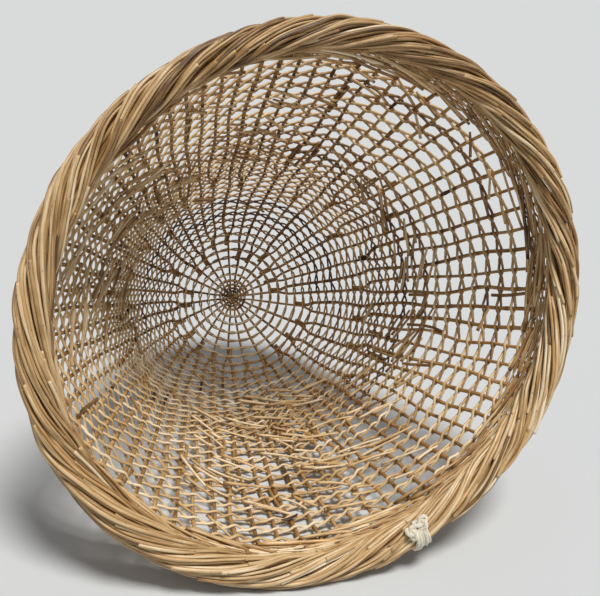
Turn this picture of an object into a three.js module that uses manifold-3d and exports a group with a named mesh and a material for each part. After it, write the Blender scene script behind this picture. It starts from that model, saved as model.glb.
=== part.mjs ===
// Openwork burden basket of twined willow rods, lying on its side with its mouth to -Y.
// Lengths are in millimetres and +Z is up. The basket is worked out standing on its apex,
// with its axis along local z, and is then laid down on its wall and its border.
import * as THREE from 'three';
import { mergeVertices } from 'three/addons/utils/BufferGeometryUtils.js';
import Module from 'manifold-3d';

const wasm = await Module();
wasm.setup();

// Wall: radius and height of the middle of the wall, from the apex to the middle of the border
const wallOutline = [
  [0, 0],
  [30, 2.5],
  [86, 22],
  [124, 58],
  [148, 98],
  [181, 180],
  [215.5, 262],
  [248, 350],
  [258, 392],
];
// The mouth has pulled oval: share of the radius at the border, and where the long way lies
const ovalShare = 0.057;
const ovalTurn = 34;

// Warps: rods that fork from the start knot to the rim
const warpGroups = 24;
const warpRadiusStart = 1.7;
const warpRadiusRim = 2.3;
const warpSteps = 8;
const warpSides = 4;
const firstForkRow = 3;
const secondForkRow = 10;

// Wefts: one long spiral that passes outside and inside the warps by turns
const weftRadius = 1.4;
const weftSides = 3;
const weftRows = 20;
const spacingGrowth = 1.45;
const growthStart = 10;
const growthEnd = 15;
const courseRows = 2;

// Start knot: the close-twined button at the apex
const knotRadius = 26;
const knotHeight = 6;
const knotRidges = 3;
const knotRidgeHeight = 0.6;
const knotEdgeShare = 0.1;
const knotSegments = 16;

// Close-twined band under the border, inside and outside the warps
const bandHeight = 24;
const bandRidges = 2;
const bandValley = 3.2;
const bandRidge = 5;
const bandSegments = 48;

// Border: bundles of rods laid round each other like a rope
const borderRadius = 16.5;
const borderStrands = 4;
const borderTurns = 9;
const borderStepsPerTurn = 8;
const borderSides = 5;
const borderPhase = 7.5;

// String tied round the border
const stringRadius = 1.8;
const stringLoops = 5;
const stringPitch = 4.6;
const stringSteps = 16;
const stringSides = 6;
const stringAzimuth = -65.4;

// Fits and the flats that the basket rests on
const gap = 0.35;
const restFlat = 1.2;

const materials = {
  warp: new THREE.MeshStandardMaterial({ color: 0x9b7547, roughness: 0.7, metalness: 0 }),
  weft: new THREE.MeshStandardMaterial({ color: 0xc49c66, roughness: 0.65, metalness: 0 }),
  border: new THREE.MeshStandardMaterial({ color: 0xc8a26c, roughness: 0.6, metalness: 0 }),
  string: new THREE.MeshStandardMaterial({ color: 0xe4dfd0, roughness: 0.95, metalness: 0 }),
};

const fullTurn = 2 * Math.PI;
const radians = THREE.MathUtils.degToRad;
const blend = THREE.MathUtils.smoothstep;

// Meridian of the wall, walked by its own length from the apex
const meridian = new THREE.CatmullRomCurve3(wallOutline.map(([r, z]) => new THREE.Vector3(r, 0, z)));
meridian.arcLengthDivisions = 600;
const wallLength = meridian.getLength();
const bandEnd = underBorder(0);
const bandStart = bandEnd - bandHeight;

function wallPoint(along, azimuth, outward = 0) {
  const share = THREE.MathUtils.clamp(along / wallLength, 0, 1);
  const middle = meridian.getPointAt(share);
  const direction = meridian.getTangentAt(share);
  const oval = 1 + ovalShare * share * Math.cos(2 * (azimuth - radians(ovalTurn)));
  const radius = middle.x * oval + direction.z * outward;
  return new THREE.Vector3(
    radius * Math.cos(azimuth),
    radius * Math.sin(azimuth),
    middle.z - direction.x * outward,
  );
}

function rimRadius(azimuth) {
  const point = wallPoint(wallLength, azimuth);
  return Math.hypot(point.x, point.y);
}

function wallNormal(along, azimuth) {
  return wallPoint(along, azimuth, 1).sub(wallPoint(along, azimuth, 0)).normalize();
}

// Rows: distance along the wall of every whole row, wider apart from the growth rows on.
// The first row clears the start knot, and the last turn ends under the band.
const firstRow = knotRadius + gap + 2 * weftRadius;
const lastRow = bandStart - gap - 2 * weftRadius;
const rowWidths = Array.from(
  { length: weftRows },
  (_, row) => 1 + (spacingGrowth - 1) * blend(row + 1, growthStart, growthEnd),
);
const rowUnit = (lastRow - firstRow) / rowWidths.reduce((total, width) => total + width, 0);
const rowAlong = [firstRow - rowUnit, firstRow];
rowWidths.forEach((width) => rowAlong.push(rowAlong.at(-1) + width * rowUnit));

function alongAtRow(row) {
  const low = THREE.MathUtils.clamp(Math.floor(row), 0, rowAlong.length - 2);
  return rowAlong[low] + (row - low) * (rowAlong[low + 1] - rowAlong[low]);
}

// Solids: a closed skin through a list of rings, with flat ends unless the list closes on itself
function loft(rings, closed) {
  const sides = rings[0].length;
  const positions = rings.flat().flatMap((point) => [point.x, point.y, point.z]);
  const faces = [];
  const spans = closed ? rings.length : rings.length - 1;
  for (let span = 0; span < spans; span += 1) {
    const here = span * sides;
    const next = ((span + 1) % rings.length) * sides;
    for (let side = 0; side < sides; side += 1) {
      const after = (side + 1) % sides;
      faces.push(here + side, next + side, next + after);
      faces.push(here + side, next + after, here + after);
    }
  }
  if (!closed) {
    const last = (rings.length - 1) * sides;
    for (let side = 1; side < sides - 1; side += 1) {
      faces.push(0, side, side + 1);
      faces.push(last, last + side + 1, last + side);
    }
  }
  const geometry = new THREE.BufferGeometry();
  geometry.setAttribute('position', new THREE.Float32BufferAttribute(positions, 3));
  geometry.setIndex(signedVolume(positions, faces) < 0 ? faces.slice().reverse() : faces);
  return geometry;
}

function signedVolume(positions, faces) {
  const corner = (index) => new THREE.Vector3().fromArray(positions, 3 * index);
  let volume = 0;
  for (let face = 0; face < faces.length; face += 3) {
    const first = corner(faces[face]);
    const second = corner(faces[face + 1]);
    const third = corner(faces[face + 2]);
    volume += first.dot(second.cross(third)) / 6;
  }
  return volume;
}

// A rod through stations, each with a point, an upward direction and a radius
function rod(stations, sides, closed = false) {
  const count = stations.length;
  const rings = stations.map((station, index) => {
    const before = stations[closed ? (index + count - 1) % count : Math.max(index - 1, 0)];
    const after = stations[closed ? (index + 1) % count : Math.min(index + 1, count - 1)];
    const ahead = after.point.clone().sub(before.point).normalize();
    const sideways = ahead.clone().cross(station.up).normalize();
    const upright = sideways.clone().cross(ahead).normalize();
    return Array.from({ length: sides }, (_, side) => {
      const angle = (fullTurn * side) / sides;
      return station.point
        .clone()
        .addScaledVector(upright, station.radius * Math.cos(angle))
        .addScaledVector(sideways, station.radius * Math.sin(angle));
    });
  });
  return loft(rings, closed);
}

function solid(geometry) {
  const bare = geometry.clone();
  bare.deleteAttribute('normal');
  bare.deleteAttribute('uv');
  const merged = mergeVertices(bare, 1e-4);
  return new wasm.Manifold(
    new wasm.Mesh({
      numProp: 3,
      vertProperties: new Float32Array(merged.attributes.position.array),
      triVerts: new Uint32Array(merged.index.array),
    }),
  );
}

function geometryOf(body) {
  const mesh = body.getMesh();
  const geometry = new THREE.BufferGeometry();
  geometry.setAttribute('position', new THREE.Float32BufferAttribute(mesh.vertProperties, 3));
  geometry.setIndex(Array.from(mesh.triVerts));
  return geometry;
}

// Warps: each group is one rod that gains a second and a third rod as the wall widens.
// A rod's place in its group is a share of the group's sector, and changes at the forks.
const sector = fullTurn / warpGroups;
const forkStart = 0.12;
const forkEnd = 0.88;
const forkRoom = 0.35;
const forkThinning = 0.9;

function placeInSector(member, row) {
  const first = blend(row, firstForkRow + forkStart, firstForkRow + forkEnd);
  const second = blend(row, secondForkRow + forkStart, secondForkRow + forkEnd);
  if (member === 0) {
    return -first / 4 - second / 12;
  }
  if (member === 1) {
    return first / 4 + second / 12;
  }
  return -(1 - second) / 4;
}

function warpAzimuth(group, member, row) {
  return sector * (group + 0.5 + placeInSector(member, row));
}

// The weft climbs one row a turn, so a row is met later along the wall as the azimuth grows
function alongAt(row, group) {
  return alongAtRow(row + (group + 0.5) / warpGroups);
}

function rowAt(along, group) {
  let row = 0;
  while (alongAt(row + 1, group) < along && row < weftRows + 1) {
    row += 1;
  }
  const low = alongAt(row, group);
  const high = alongAt(row + 1, group);
  return row + (along - low) / (high - low);
}

function warpRadius(along) {
  return THREE.MathUtils.lerp(warpRadiusStart, warpRadiusRim, along / wallLength);
}

function warpStation(along, group, member) {
  const azimuth = warpAzimuth(group, member, rowAt(along, group));
  return {
    along,
    point: wallPoint(along, azimuth),
    up: wallNormal(along, azimuth),
    radius: warpRadius(along),
  };
}

// A rod added at a fork starts inside the rod beside it, a little thinner so that it sits in it
function warpStations(group, member, parent) {
  const forkRow = member === 2 ? secondForkRow : firstForkRow;
  const forks = [forkRow + forkStart, forkRow + forkEnd].map((row) => alongAt(row, group));
  const start = member === 0 ? knotRadius + gap : forks[0];
  const step = bandStart / warpSteps;
  const regular = Array.from({ length: warpSteps }, (_, index) => step * (index + 1));
  const spread = regular.filter((along) => forks.every((fork) => Math.abs(fork - along) > step * forkRoom));
  const along = [start, ...forks, ...spread, bandEnd]
    .filter((value, index, all) => value >= start && all.indexOf(value) === index)
    .sort((a, b) => a - b);
  const stations = along.map((value) => warpStation(value, group, member));
  if (parent) {
    const joined = pointOnWarp(parent, start);
    stations[0] = { ...joined, along: start, radius: joined.radius * forkThinning };
  }
  return stations;
}

const warps = [];
for (let group = 0; group < warpGroups; group += 1) {
  const primary = warpStations(group, 0);
  warps.push([primary, warpStations(group, 1, primary), warpStations(group, 2, primary)]);
}

function warpBody(members) {
  return members.map((stations) => solid(rod(stations, warpSides))).reduce((all, next) => all.add(next));
}

// Wefts: a station on every warp that the strand meets, outside or inside it by turns
function pointOnWarp(stations, along) {
  let index = 0;
  while (index < stations.length - 2 && stations[index + 1].along < along) {
    index += 1;
  }
  const low = stations[index];
  const high = stations[index + 1];
  const share = (along - low.along) / (high.along - low.along);
  return {
    point: low.point.clone().lerp(high.point, share),
    up: low.up.clone().lerp(high.up, share).normalize(),
    radius: THREE.MathUtils.lerp(low.radius, high.radius, share),
  };
}

function membersAtRow(row) {
  if (row <= firstForkRow) {
    return [0];
  }
  return row <= secondForkRow ? [0, 1] : [0, 2, 1];
}

function weftCourse(fromRow, toRow) {
  const stations = [];
  for (let row = fromRow; row <= toRow; row += 1) {
    const members = membersAtRow(row);
    for (let group = 0; group < warpGroups; group += 1) {
      members.forEach((member, index) => {
        const met = pointOnWarp(warps[group][member], alongAt(row, group));
        const side = (group * members.length + index + row) % 2 === 0 ? 1 : -1;
        const reach = met.radius + gap + weftRadius;
        stations.push({
          point: met.point.addScaledVector(met.up, side * reach),
          up: met.up,
          radius: weftRadius,
        });
      });
    }
  }
  return rod(stations, weftSides);
}

// Start knot: a round button with a ridge for each of its close rows, domed on both faces
function startKnot() {
  const upper = [];
  const steps = 2 * knotRidges;
  for (let step = 0; step <= steps; step += 1) {
    const radius = (knotRadius * step) / steps;
    const dome = (knotHeight / 2) * Math.sqrt(1 - ((1 - knotEdgeShare) * step) / steps);
    const ridge = step % 2 === 1 ? knotRidgeHeight : 0;
    upper.push(new THREE.Vector2(radius, dome + ridge));
  }
  const lower = upper.map((point) => new THREE.Vector2(point.x, -point.y)).reverse();
  const knot = new THREE.LatheGeometry([...lower.reverse(), ...upper.reverse()], knotSegments);
  knot.rotateX(Math.PI / 2);
  const rise = wallPoint(knotRadius, 0).z;
  knot.translate(0, 0, rise / 2);
  return mergeVertices(stripped(knot), 1e-4);
}

function stripped(geometry) {
  geometry.deleteAttribute('normal');
  geometry.deleteAttribute('uv');
  return geometry;
}

// How far up the wall a point may lie, at a distance from the middle of the wall, to clear the border
function underBorder(outward) {
  return wallLength - Math.sqrt((borderRadius + gap) ** 2 - outward ** 2);
}

// Band: a ridged ring on one side of the warps, its flat side to them and its top under the border
function bandRing(side) {
  const bow = side > 0 ? rimRadius(0) * (1 + ovalShare) * (1 - Math.cos(Math.PI / bandSegments)) : 0;
  const flat = warpRadius(bandEnd) + gap + bow;
  const crest = flat + bandRidge;
  const top = underBorder(crest);
  const height = (top - bandStart) / (bandRidges - 0.5);
  const outline = [[bandStart, flat]];
  for (let ridge = bandRidges - 1; ridge > 0; ridge -= 1) {
    outline.push([top - ridge * height, crest]);
    outline.push([top - (ridge - 0.5) * height, flat + bandValley]);
  }
  outline.push([top, crest]);
  outline.push([underBorder(flat), flat]);
  const rings = Array.from({ length: bandSegments }, (_, segment) => {
    const azimuth = (fullTurn * segment) / bandSegments;
    return outline.map(([along, outward]) => wallPoint(along, azimuth, side * outward));
  });
  return loft(rings, true);
}

// Border: strands that lie round the border's middle line, as thick as their neighbours leave room for
const layShare = 0.6;
const layTilt = Math.atan((borderTurns * layShare * borderRadius) / rimRadius(0));
const layRoom = 2 * Math.sin(Math.PI / borderStrands) * Math.cos(Math.PI / borderStepsPerTurn) * Math.cos(layTilt);
const borderStrandRadius = (borderRadius * layRoom - gap) / (2 + layRoom);

function borderFrame(azimuth) {
  const point = wallPoint(wallLength, azimuth);
  const step = 1e-3;
  const ahead = wallPoint(wallLength, azimuth + step).sub(wallPoint(wallLength, azimuth - step)).normalize();
  const out = ahead.clone().cross(new THREE.Vector3(0, 0, 1)).normalize();
  const up = out.clone().cross(ahead).normalize();
  return { point, ahead, out, up };
}

function roundBorder(azimuth, angle, radius) {
  const { point, out, up } = borderFrame(azimuth);
  const direction = out.multiplyScalar(Math.cos(angle)).addScaledVector(up, Math.sin(angle));
  return { point: point.addScaledVector(direction, radius), up: direction };
}

function borderStrand(strand) {
  const layRadius = borderRadius - borderStrandRadius;
  const steps = borderTurns * borderStepsPerTurn;
  const stations = Array.from({ length: steps }, (_, step) => {
    const azimuth = (fullTurn * step) / steps + radians(borderPhase);
    const angle = (fullTurn * step) / borderStepsPerTurn + (fullTurn * strand) / borderStrands;
    return { ...roundBorder(azimuth, angle, layRadius), radius: borderStrandRadius };
  });
  return rod(stations, borderSides, true);
}

// String: one unbroken winding round the border, with a straight end one diameter long at each end
const stringRing = (borderRadius + gap + stringRadius) / Math.cos(Math.PI / stringSteps);
const stringTurnAngle = stringPitch / (rimRadius(radians(stringAzimuth)) - stringRing);

function stringStations() {
  const steps = stringLoops * stringSteps;
  const stations = [];
  for (let step = 0; step <= steps; step += 1) {
    const loops = step / stringSteps;
    const azimuth = radians(stringAzimuth) + stringTurnAngle * (loops - stringLoops / 2);
    stations.push({ ...roundBorder(azimuth, fullTurn * loops + Math.PI / 2, stringRing), radius: stringRadius });
  }
  const lead = (end, inner) => ({
    point: end.point.clone().add(end.point.clone().sub(inner.point).setLength(2 * stringRadius)),
    up: end.up,
    radius: stringRadius,
  });
  stations.unshift(lead(stations[0], stations[1]));
  stations.push(lead(stations[stations.length - 1], stations[stations.length - 2]));
  return stations;
}

function leastGapToItself(stations, diameter) {
  let least = Infinity;
  for (let first = 0; first < stations.length; first += 1) {
    for (let second = first + stringSteps / 2; second < stations.length; second += 1) {
      least = Math.min(least, stations[first].point.distanceTo(stations[second].point));
    }
  }
  return least - diameter;
}

// Room for the string under the border, cut from the tips of the warps and from the band
function stringNotch() {
  const width = stringPitch * (stringLoops + 1) + 2 * gap + 2 * stringRadius;
  const reach = 3 * borderRadius;
  const drop = stringRing + stringRadius + gap;
  const box = new THREE.BoxGeometry(reach, width, reach);
  const { point } = borderFrame(radians(stringAzimuth));
  box.translate(0, 0, reach / 2);
  box.rotateZ(radians(stringAzimuth));
  box.translate(point.x, point.y, point.z - drop);
  return solid(box);
}

// Laying down: turn about x until the border and the wall touch the floor together
const standing = new Map();
const notch = stringNotch();
const twoDigits = (number) => String(number).padStart(2, '0');

standing.set('start_knot', { body: solid(startKnot()), material: materials.weft });
warps.forEach((members, group) => {
  standing.set(`warp_${twoDigits(group + 1)}`, {
    body: warpBody(members).subtract(notch),
    material: materials.warp,
  });
});
const lastRowOfCourse = [];
for (let row = 1; row <= weftRows; row += 1) {
  const full = row - (lastRowOfCourse.at(-1) ?? 0) === courseRows;
  if (full || row === firstForkRow || row === secondForkRow || row === weftRows) {
    lastRowOfCourse.push(row);
  }
}
lastRowOfCourse.forEach((lastRow, course) => {
  const fromRow = course === 0 ? 1 : lastRowOfCourse[course - 1] + 1;
  standing.set(`weft_course_${twoDigits(course + 1)}`, {
    body: solid(weftCourse(fromRow, lastRow)),
    material: materials.weft,
  });
});
standing.set('band_inner', { body: solid(bandRing(-1)).subtract(notch), material: materials.weft });
standing.set('band_outer', { body: solid(bandRing(1)).subtract(notch), material: materials.weft });
for (let strand = 0; strand < borderStrands; strand += 1) {
  standing.set(`border_strand_${strand + 1}`, {
    body: solid(borderStrand(strand)),
    material: materials.border,
  });
}
const winding = stringStations();
standing.set('string_tie', { body: solid(rod(winding, stringSides)), material: materials.string });
console.log(`string_tie: least gap to itself ${leastGapToItself(winding, 2 * stringRadius).toFixed(2)} mm`);

function laidMatrix(lean) {
  return new THREE.Matrix4().makeRotationX(Math.PI / 2 - lean);
}

function cornersOf(names) {
  return names.flatMap((name) => {
    const array = standing.get(name).body.getMesh().vertProperties;
    return Array.from({ length: array.length / 3 }, (_, index) => new THREE.Vector3().fromArray(array, 3 * index));
  });
}

function lowest(corners, lean) {
  const laid = laidMatrix(lean);
  return Math.min(...corners.map((corner) => corner.clone().applyMatrix4(laid).z));
}

const names = [...standing.keys()];
const borderCorners = cornersOf(names.filter((name) => name.startsWith('border')));
const wallCorners = cornersOf(names.filter((name) => name.startsWith('weft')));
let leanLow = 0;
let leanHigh = Math.PI / 3;
for (let halving = 0; halving < 40; halving += 1) {
  const lean = (leanLow + leanHigh) / 2;
  if (lowest(borderCorners, lean) < lowest(wallCorners, lean)) {
    leanLow = lean;
  } else {
    leanHigh = lean;
  }
}
const restLean = leanLow;
console.log(`rest: the mouth faces ${THREE.MathUtils.radToDeg(restLean).toFixed(1)} degrees above level`);

// The part stands on z = 0, with the middle of its box over the origin
const laid = laidMatrix(restLean);
const bounds = new THREE.Box3();
cornersOf(names).forEach((corner) => bounds.expandByPoint(corner.applyMatrix4(laid)));
const middle = bounds.getCenter(new THREE.Vector3());
const drop = lowest([...borderCorners, ...wallCorners], restLean) + restFlat;

const extent = bounds.getSize(new THREE.Vector3());
const floor = new THREE.BoxGeometry(2 * extent.x, 2 * extent.y, extent.z);
floor.translate(middle.x, middle.y, drop - extent.z / 2);
floor.applyMatrix4(laid.clone().invert());
const floorBody = solid(floor);

const basket = new THREE.Group();
basket.rotation.x = Math.PI / 2 - restLean;
basket.position.set(-middle.x, -middle.y, -drop);
standing.forEach(({ body, material }, name) => {
  const mesh = new THREE.Mesh(geometryOf(body.subtract(floorBody)), material);
  mesh.name = name;
  basket.add(mesh);
});

const part = new THREE.Group();
part.add(basket);

export default part;
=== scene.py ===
"""Openwork burden basket of twined willow, lying on its side with its mouth to the camera.

The basket is worked out in millimetres, standing on its apex with its axis along local z,
as the frame's own source does, and is then laid down and scaled to metres.
"""

import math

import bpy
import numpy as np
from mathutils import Matrix, Vector


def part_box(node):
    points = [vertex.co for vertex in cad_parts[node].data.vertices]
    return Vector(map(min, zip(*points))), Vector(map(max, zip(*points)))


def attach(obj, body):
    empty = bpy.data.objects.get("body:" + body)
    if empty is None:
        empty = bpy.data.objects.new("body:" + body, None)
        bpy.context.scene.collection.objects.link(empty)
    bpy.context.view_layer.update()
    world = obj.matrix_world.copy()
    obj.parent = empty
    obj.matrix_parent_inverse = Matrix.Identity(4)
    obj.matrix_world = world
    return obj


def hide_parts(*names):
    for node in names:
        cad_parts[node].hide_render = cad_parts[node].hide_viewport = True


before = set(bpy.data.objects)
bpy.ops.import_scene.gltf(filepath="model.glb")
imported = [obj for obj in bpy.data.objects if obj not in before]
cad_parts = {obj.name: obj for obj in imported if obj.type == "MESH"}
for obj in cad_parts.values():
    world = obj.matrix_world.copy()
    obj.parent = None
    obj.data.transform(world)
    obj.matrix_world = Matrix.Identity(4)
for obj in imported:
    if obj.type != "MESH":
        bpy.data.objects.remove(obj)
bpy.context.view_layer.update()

MM = 0.001
TURN = 2 * math.pi

# Tones run from 0, dark, to 1, pale. A value named WAVER is the length and the height of smooth
# waves. Other pairs are the ends of a range, unless a comment says else.

# Wall: radius and height of its middle, from the apex to the middle of the border
WALL_OUTLINE = np.array([
    [0, 0], [30, 2.5], [86, 22], [124, 58], [148, 98],
    [181, 180], [215.5, 262], [248, 350], [258, 392],
], float)
OUTLINE_STEPS = 60
SLOPE_REACH = 2
OVAL_SHARE = 0.057
OVAL_TURN = math.radians(34)

# How the basket lies: the mouth's lean above level and the place of the apex
REST_LEAN = math.radians(21.81)
KNOT_MIDDLE_RISE = 1.0

# Rods settle flat where they press on the floor
FLOOR_CONTACT = 0.2

# Seeded unevenness: numbers of waves and ranges of their lengths and rates
WAVER_WAVES = 4
WAVER_LENGTHS = (0.6, 1.8)
WANDER_WAVES = 9
WANDER_AROUND = (2, 15)
WANDER_ALONG = 0.03

# Warps: their radii are those at the apex, past the start knot and at the rim
WARP_GROUPS = 24
RODS_IN_GROUP = 3
WARP_CROSSING_RADIUS = 1.15
WARP_SLIM_LENGTH = 60
WARP_START_RADIUS = 1.7
WARP_RIM_RADIUS = 2.15
WARP_GIRTH = (0.84, 1.12)
WARP_SIDES = 9
WARP_STEP = 3.5
WARP_TUCK = 4
WARP_TONE = 0.53
WARP_TONE_SPREAD = 0.12
WARP_SWAY_WAVER = (150, 0.05)
WARP_LIFT_WAVER = (60, 0.5)
SWAY_ENDS = 60
LIFT_STARTS = (40, 90)
SIDE_BY_SIDE = 0.9

# Along the wall, the weave loosens from the close start to the open wall over this stretch
OPEN_WALL = (40, 160)

# Forks, first and second: rows of the frame between which its warps part, how far ours may stray,
# how much longer ours are and how far ahead of it the added rod starts. They climb with the spiral.
FORK_ROWS = ((3.12, 3.88), (10.12, 10.88))
FORK_STRAY = ((-14, 22), (-26, 26))
FORK_LONGER = (10, 14)
FORK_LEAD = (6, 8)
FORK_CLIMB = 18
FORK_SWELLING = 0.22
FORK_SWELLING_LENGTH = 45

# Buds and patches of bark on the warps
FIRST_BUD = (20, 60)
BUD_SPACING = (45, 80)
BUD_LENGTH = 2.6
BUD_SWELLING = 0.22
BUD_DARKER = 0.3
BARKED_SHARE = 0.22
BARK_PLACE = (150, 440)
BARK_HALF_LENGTH = (6, 16)
BARK_EDGE = 2
BARK_DARKER = 0.6

# Start knot: how the first rods cross in layers and run in pairs, and where that ends
KNOT_LAYERS = 4
KNOT_LAYER_HEIGHT = 1.7
KNOT_LEVELLING = (6, 24)
KNOT_GATHERED = 0.35
KNOT_PARTING = (10, 26)

# Its rows: distance from the apex, number of warps or pairs that each binds, their radius
KNOT_ROWS = ((8.4, 12, 2.0), (12.8, 12, 2.0), (17.6, 24, 1.3))
KNOT_STRAND_RADIUS = 0.95
KNOT_TONE = 0.48
KNOT_TONE_SPREAD = 0.2
KNOT_SPLICE = 6

# Painted shade and light: the wall's rods are darker towards the side in shade, and the rim's paler at the
# bottom, where the light falls
SHADED_SIDE = math.radians(68)
WEFT_PAINTED_SHADE = 0.26
WARP_PAINTED_SHADE = 0.12
PAINTED_LIGHT_BELOW = 0.1

# Weft turns, from the start knot to the band: the lead-in is the place one turn before the first
TURNS = 30
LEAD_IN = 21.5
FIRST_TURN = 29.8
LAST_TURN = 458.0
SPACING_GROWTH = 1.53
GROWTH_START = 16
GROWTH_END = 24
ROW_WANDER = 2.0
ROW_JITTER = 0.35
NEW_ROD_BOUND = 12

# Where the frame's own, wider-spaced turns end each course
CAD_ROWS = 20
CAD_FIRST_ROW = 29.15
CAD_LAST_ROW = 452.0
CAD_GROWTH = (1.45, 10, 15)
CAD_COURSE_ENDS = (2, 3, 5, 7, 9, 10, 12, 14, 16, 18, 20)

# Weft strands, and how tight they bend round a warp
WEFT_START_RADIUS = 1.15
WEFT_RIM_RADIUS = 1.75
WEFT_SIDES = 7
WEFT_SPREAD = 0.9
WEFT_FLATNESS = 0.85
WEFT_TONE = 0.66
WEFT_TONE_SPREAD = 0.13
WEFT_SPLICE = 22
STITCH_STEPS = np.array([0, 0.09, 0.18, 0.29, 0.42, 0.58, 0.71, 0.82, 0.91])
STITCH_REACH = 4.6
STITCH_PRESSED = 0.96
WIDEST_BEND = 1.5
TIGHTNESS = (0.7, 2.0)
WEFT_THICKNESS_WAVER = (50, 0.1)
WEFT_OUTWARD_WAVER = (40, 0.3)
WEFT_SIDEWAYS_WAVER = (55, 0.3)

# Splices, where a new rod takes over: more of them than any row has, and shares of their spacing
SPLICES = 4000
SPLICE_LENGTHS = (0.5, 1.5)
SPLICED_TONES = (0.1, 0.98)

# Band of waled rows: each strand is inside two warps of three
BAND_HEIGHT = 24
BAND_ROWS = 5
BAND_WANDER = 0.9
BAND_STRAND_RADIUS = 0.95
BAND_GIRTH = (0.9, 1.1)
BAND_SLANT = 1.3
BAND_TONE = 0.5
BAND_TONE_SPREAD = 0.15
BAND_SPLICE = 7
WALE_STRANDS = 3
WALE_STEPS = np.arange(6) / 6
WALE_SIDES = 8
WALE_PRESSED = 0.9
WALE_STEEPNESS = 3
WALE_MIDDLE = 0.5
WALE_THICKNESS_WAVER = (50, 0.12)
WALE_SIDEWAYS_WAVER = (9, 1.1)

# Border: bundles laid round its middle like a rope, two to each of the frame's strands
BORDER_RADIUS = 16.5
STRANDS = 4
BUNDLES = 8
BORDER_TURNS = 6
BORDER_STEPS = 700
BORDER_SIDES = 7
BORDER_LAY = 12.0
ROD_RADIUS = 1.65
BUNDLE_RADIUS = 2.6
BACK_TWIST = 0.8
RODS_IN_BUNDLE = 5
BORDER_TONE = 0.47
BORDER_TONE_SPREAD = 0.17
BORDER_DARKEST = 0.14
BUNDLE_SWAY_WAVER = (0.5, 0.14)
BUNDLE_LIFT_WAVER = (0.3, 1.1)

# Its rods: lengths in radians round the rim, and how far butts stand out and tips sink in
FIRST_BUTT = (0, 0.6)
ROD_SPAN = (0.5, 1.1)
LEAST_SPAN = 0.35
SPAN_CLOSED = 0.02
BUTT_OVERLAP = 0.07
BUTT_RISE = 0.8
BUTT_STRETCH = 0.05
TIP_SINK = 2.0
TIP_STRETCH = 0.08
ROD_GIRTH = (0.85, 1.15)
ROD_TAPER = (1.12, 0.88)
ROD_TURN_WAVER = (0.4, 0.28)
ROD_REACH_WAVER = (0.3, 0.14)

# Short rods that stand out of the bundles
STRAY_SHARE = 0.7
STRAY_LAY = (-0.3, 1.6)
STRAY_SPAN = (0.2, 0.36)
STRAY_TURN = (-0.5, 0.5)
STRAY_TURN_WAVER = (0.5, 0.15)
STRAY_RISE = 1.2
STRAY_SINK = 2.8
STRAY_SINKING = (0.05, 0.3)
STRAY_PALER = 0.05
STRAY_TONE_SPREAD = 0.12
STRAY_TAPER = (1.15, 0.85)

# Warp ends that run on inside the border
CORE_RODS = 8
CORE_TURNS = 3
CORE_REACH = 6.0
CORE_ROD_RADIUS = 3.0
# Painted shade: the core's tone is kept dark so that it shows as shade deep between the bundles
CORE_TONE = 0.3
CORE_TONE_SPREAD = 0.1

# String tied round the border: it sinks in away from the side that shows, and fans out from its knot
STRING_AZIMUTH = math.radians(-67.9)
STRING_RADIUS = 2.0
STRING_LOOPS = 5
LOOP_STEPS = 60
STRING_PITCH = 5.2
STRING_PLIES = 3
STRING_LAY = 8
PLY_REACH = 0.48
PLY_RADIUS = 0.6
PLY_SIDES = 8
STRING_PRESSED = 0.8
STRING_SHOWN = math.radians(63)
STRING_SUNK = 8.0
STRING_SINKING = (0.22 * math.pi, 0.36 * math.pi)
STRING_FAN = 0.5
STRING_SLANT = 1.5
STRING_RISE = 0.6
STRING_RISE_RATE = 9
STRING_FIBRES = 150

# Its knot: place round the border, and each lump's place along, turn from there, width and height
TIE_ANGLE = math.radians(114)
TIE_LUMPS = ((4.5, 0.1, 16, 10), (-8.5, -0.1, 10, 12))
TIE_STEPS = 90
TIE_RISE = 2.4
TIE_WEAVE = 1.7
TIE_FIBRES = 50

# Fibres that stand off the string, with their radii at root and tip
FIBRE_MARGIN = 2
FIBRE_STRAY = 0.8
FIBRE_CURL = 1.2
FIBRE_LENGTH = (2.4, 4.2)
FIBRE_RADII = (0.14, 0.06)
FIBRE_STEPS = 5
FIBRE_SIDES = 4

# Rods that lie against the inside: they taper from butt to tip, and their cut end is darker
END_STEPS = 9
END_SIDES = 8
END_BOW = 0.02
END_BUTT = 1.12
END_TAPER = 0.3
END_CUT = 0.05
END_CUT_DARKER = 0.25
END_BELOW_RIM = 12

# Loose ends inside: azimuths in degrees, distances along the wall, lengths, number and tone. The tones hold
# painted light and shade: paler for ends on the lit bottom of the wall, darker for those on the shaded top
# and right.
LOOSE_ENDS = (
    ((235, 302), (160, 400), (26, 60), 50, 0.68),
    ((235, 310), (300, 440), (26, 60), 22, 0.64),
    ((-60, 70), (245, 320), (20, 50), 50, 0.45),
    ((130, 185), (220, 430), (24, 60), 50, 0.55),
    ((20, 75), (400, 450), (20, 50), 8, 0.4),
    ((75, 130), (250, 420), (20, 50), 22, 0.45),
    ((0, 360), (120, 440), (18, 45), 40, 0.5),
)
# Their slope in degrees: mean, spread, least and most
LOOSE_SLOPE = (17, 11, -12, 50)
LOOSE_RADIUS = (1.2, 1.8)
LOOSE_TONE_SPREAD = 0.14
LOOSE_FREE = (4, 8)
LOOSE_TUCKED = (-1, 3)

# Warp ends turned down inside the band: the tone is a mean and a spread, the slope is in degrees
TURNED_ENDS = 96
TURNED_START = (-7, 12)
TURNED_LENGTH = (45, 90)
TURNED_SLOPE = (3, 14)
TURNED_RADIUS = (1.3, 1.9)
TURNED_TONE = (0.48, 0.16)
TURNED_FREE = (3, 5)
TURNED_TUCKED = (1, 4)

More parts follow.
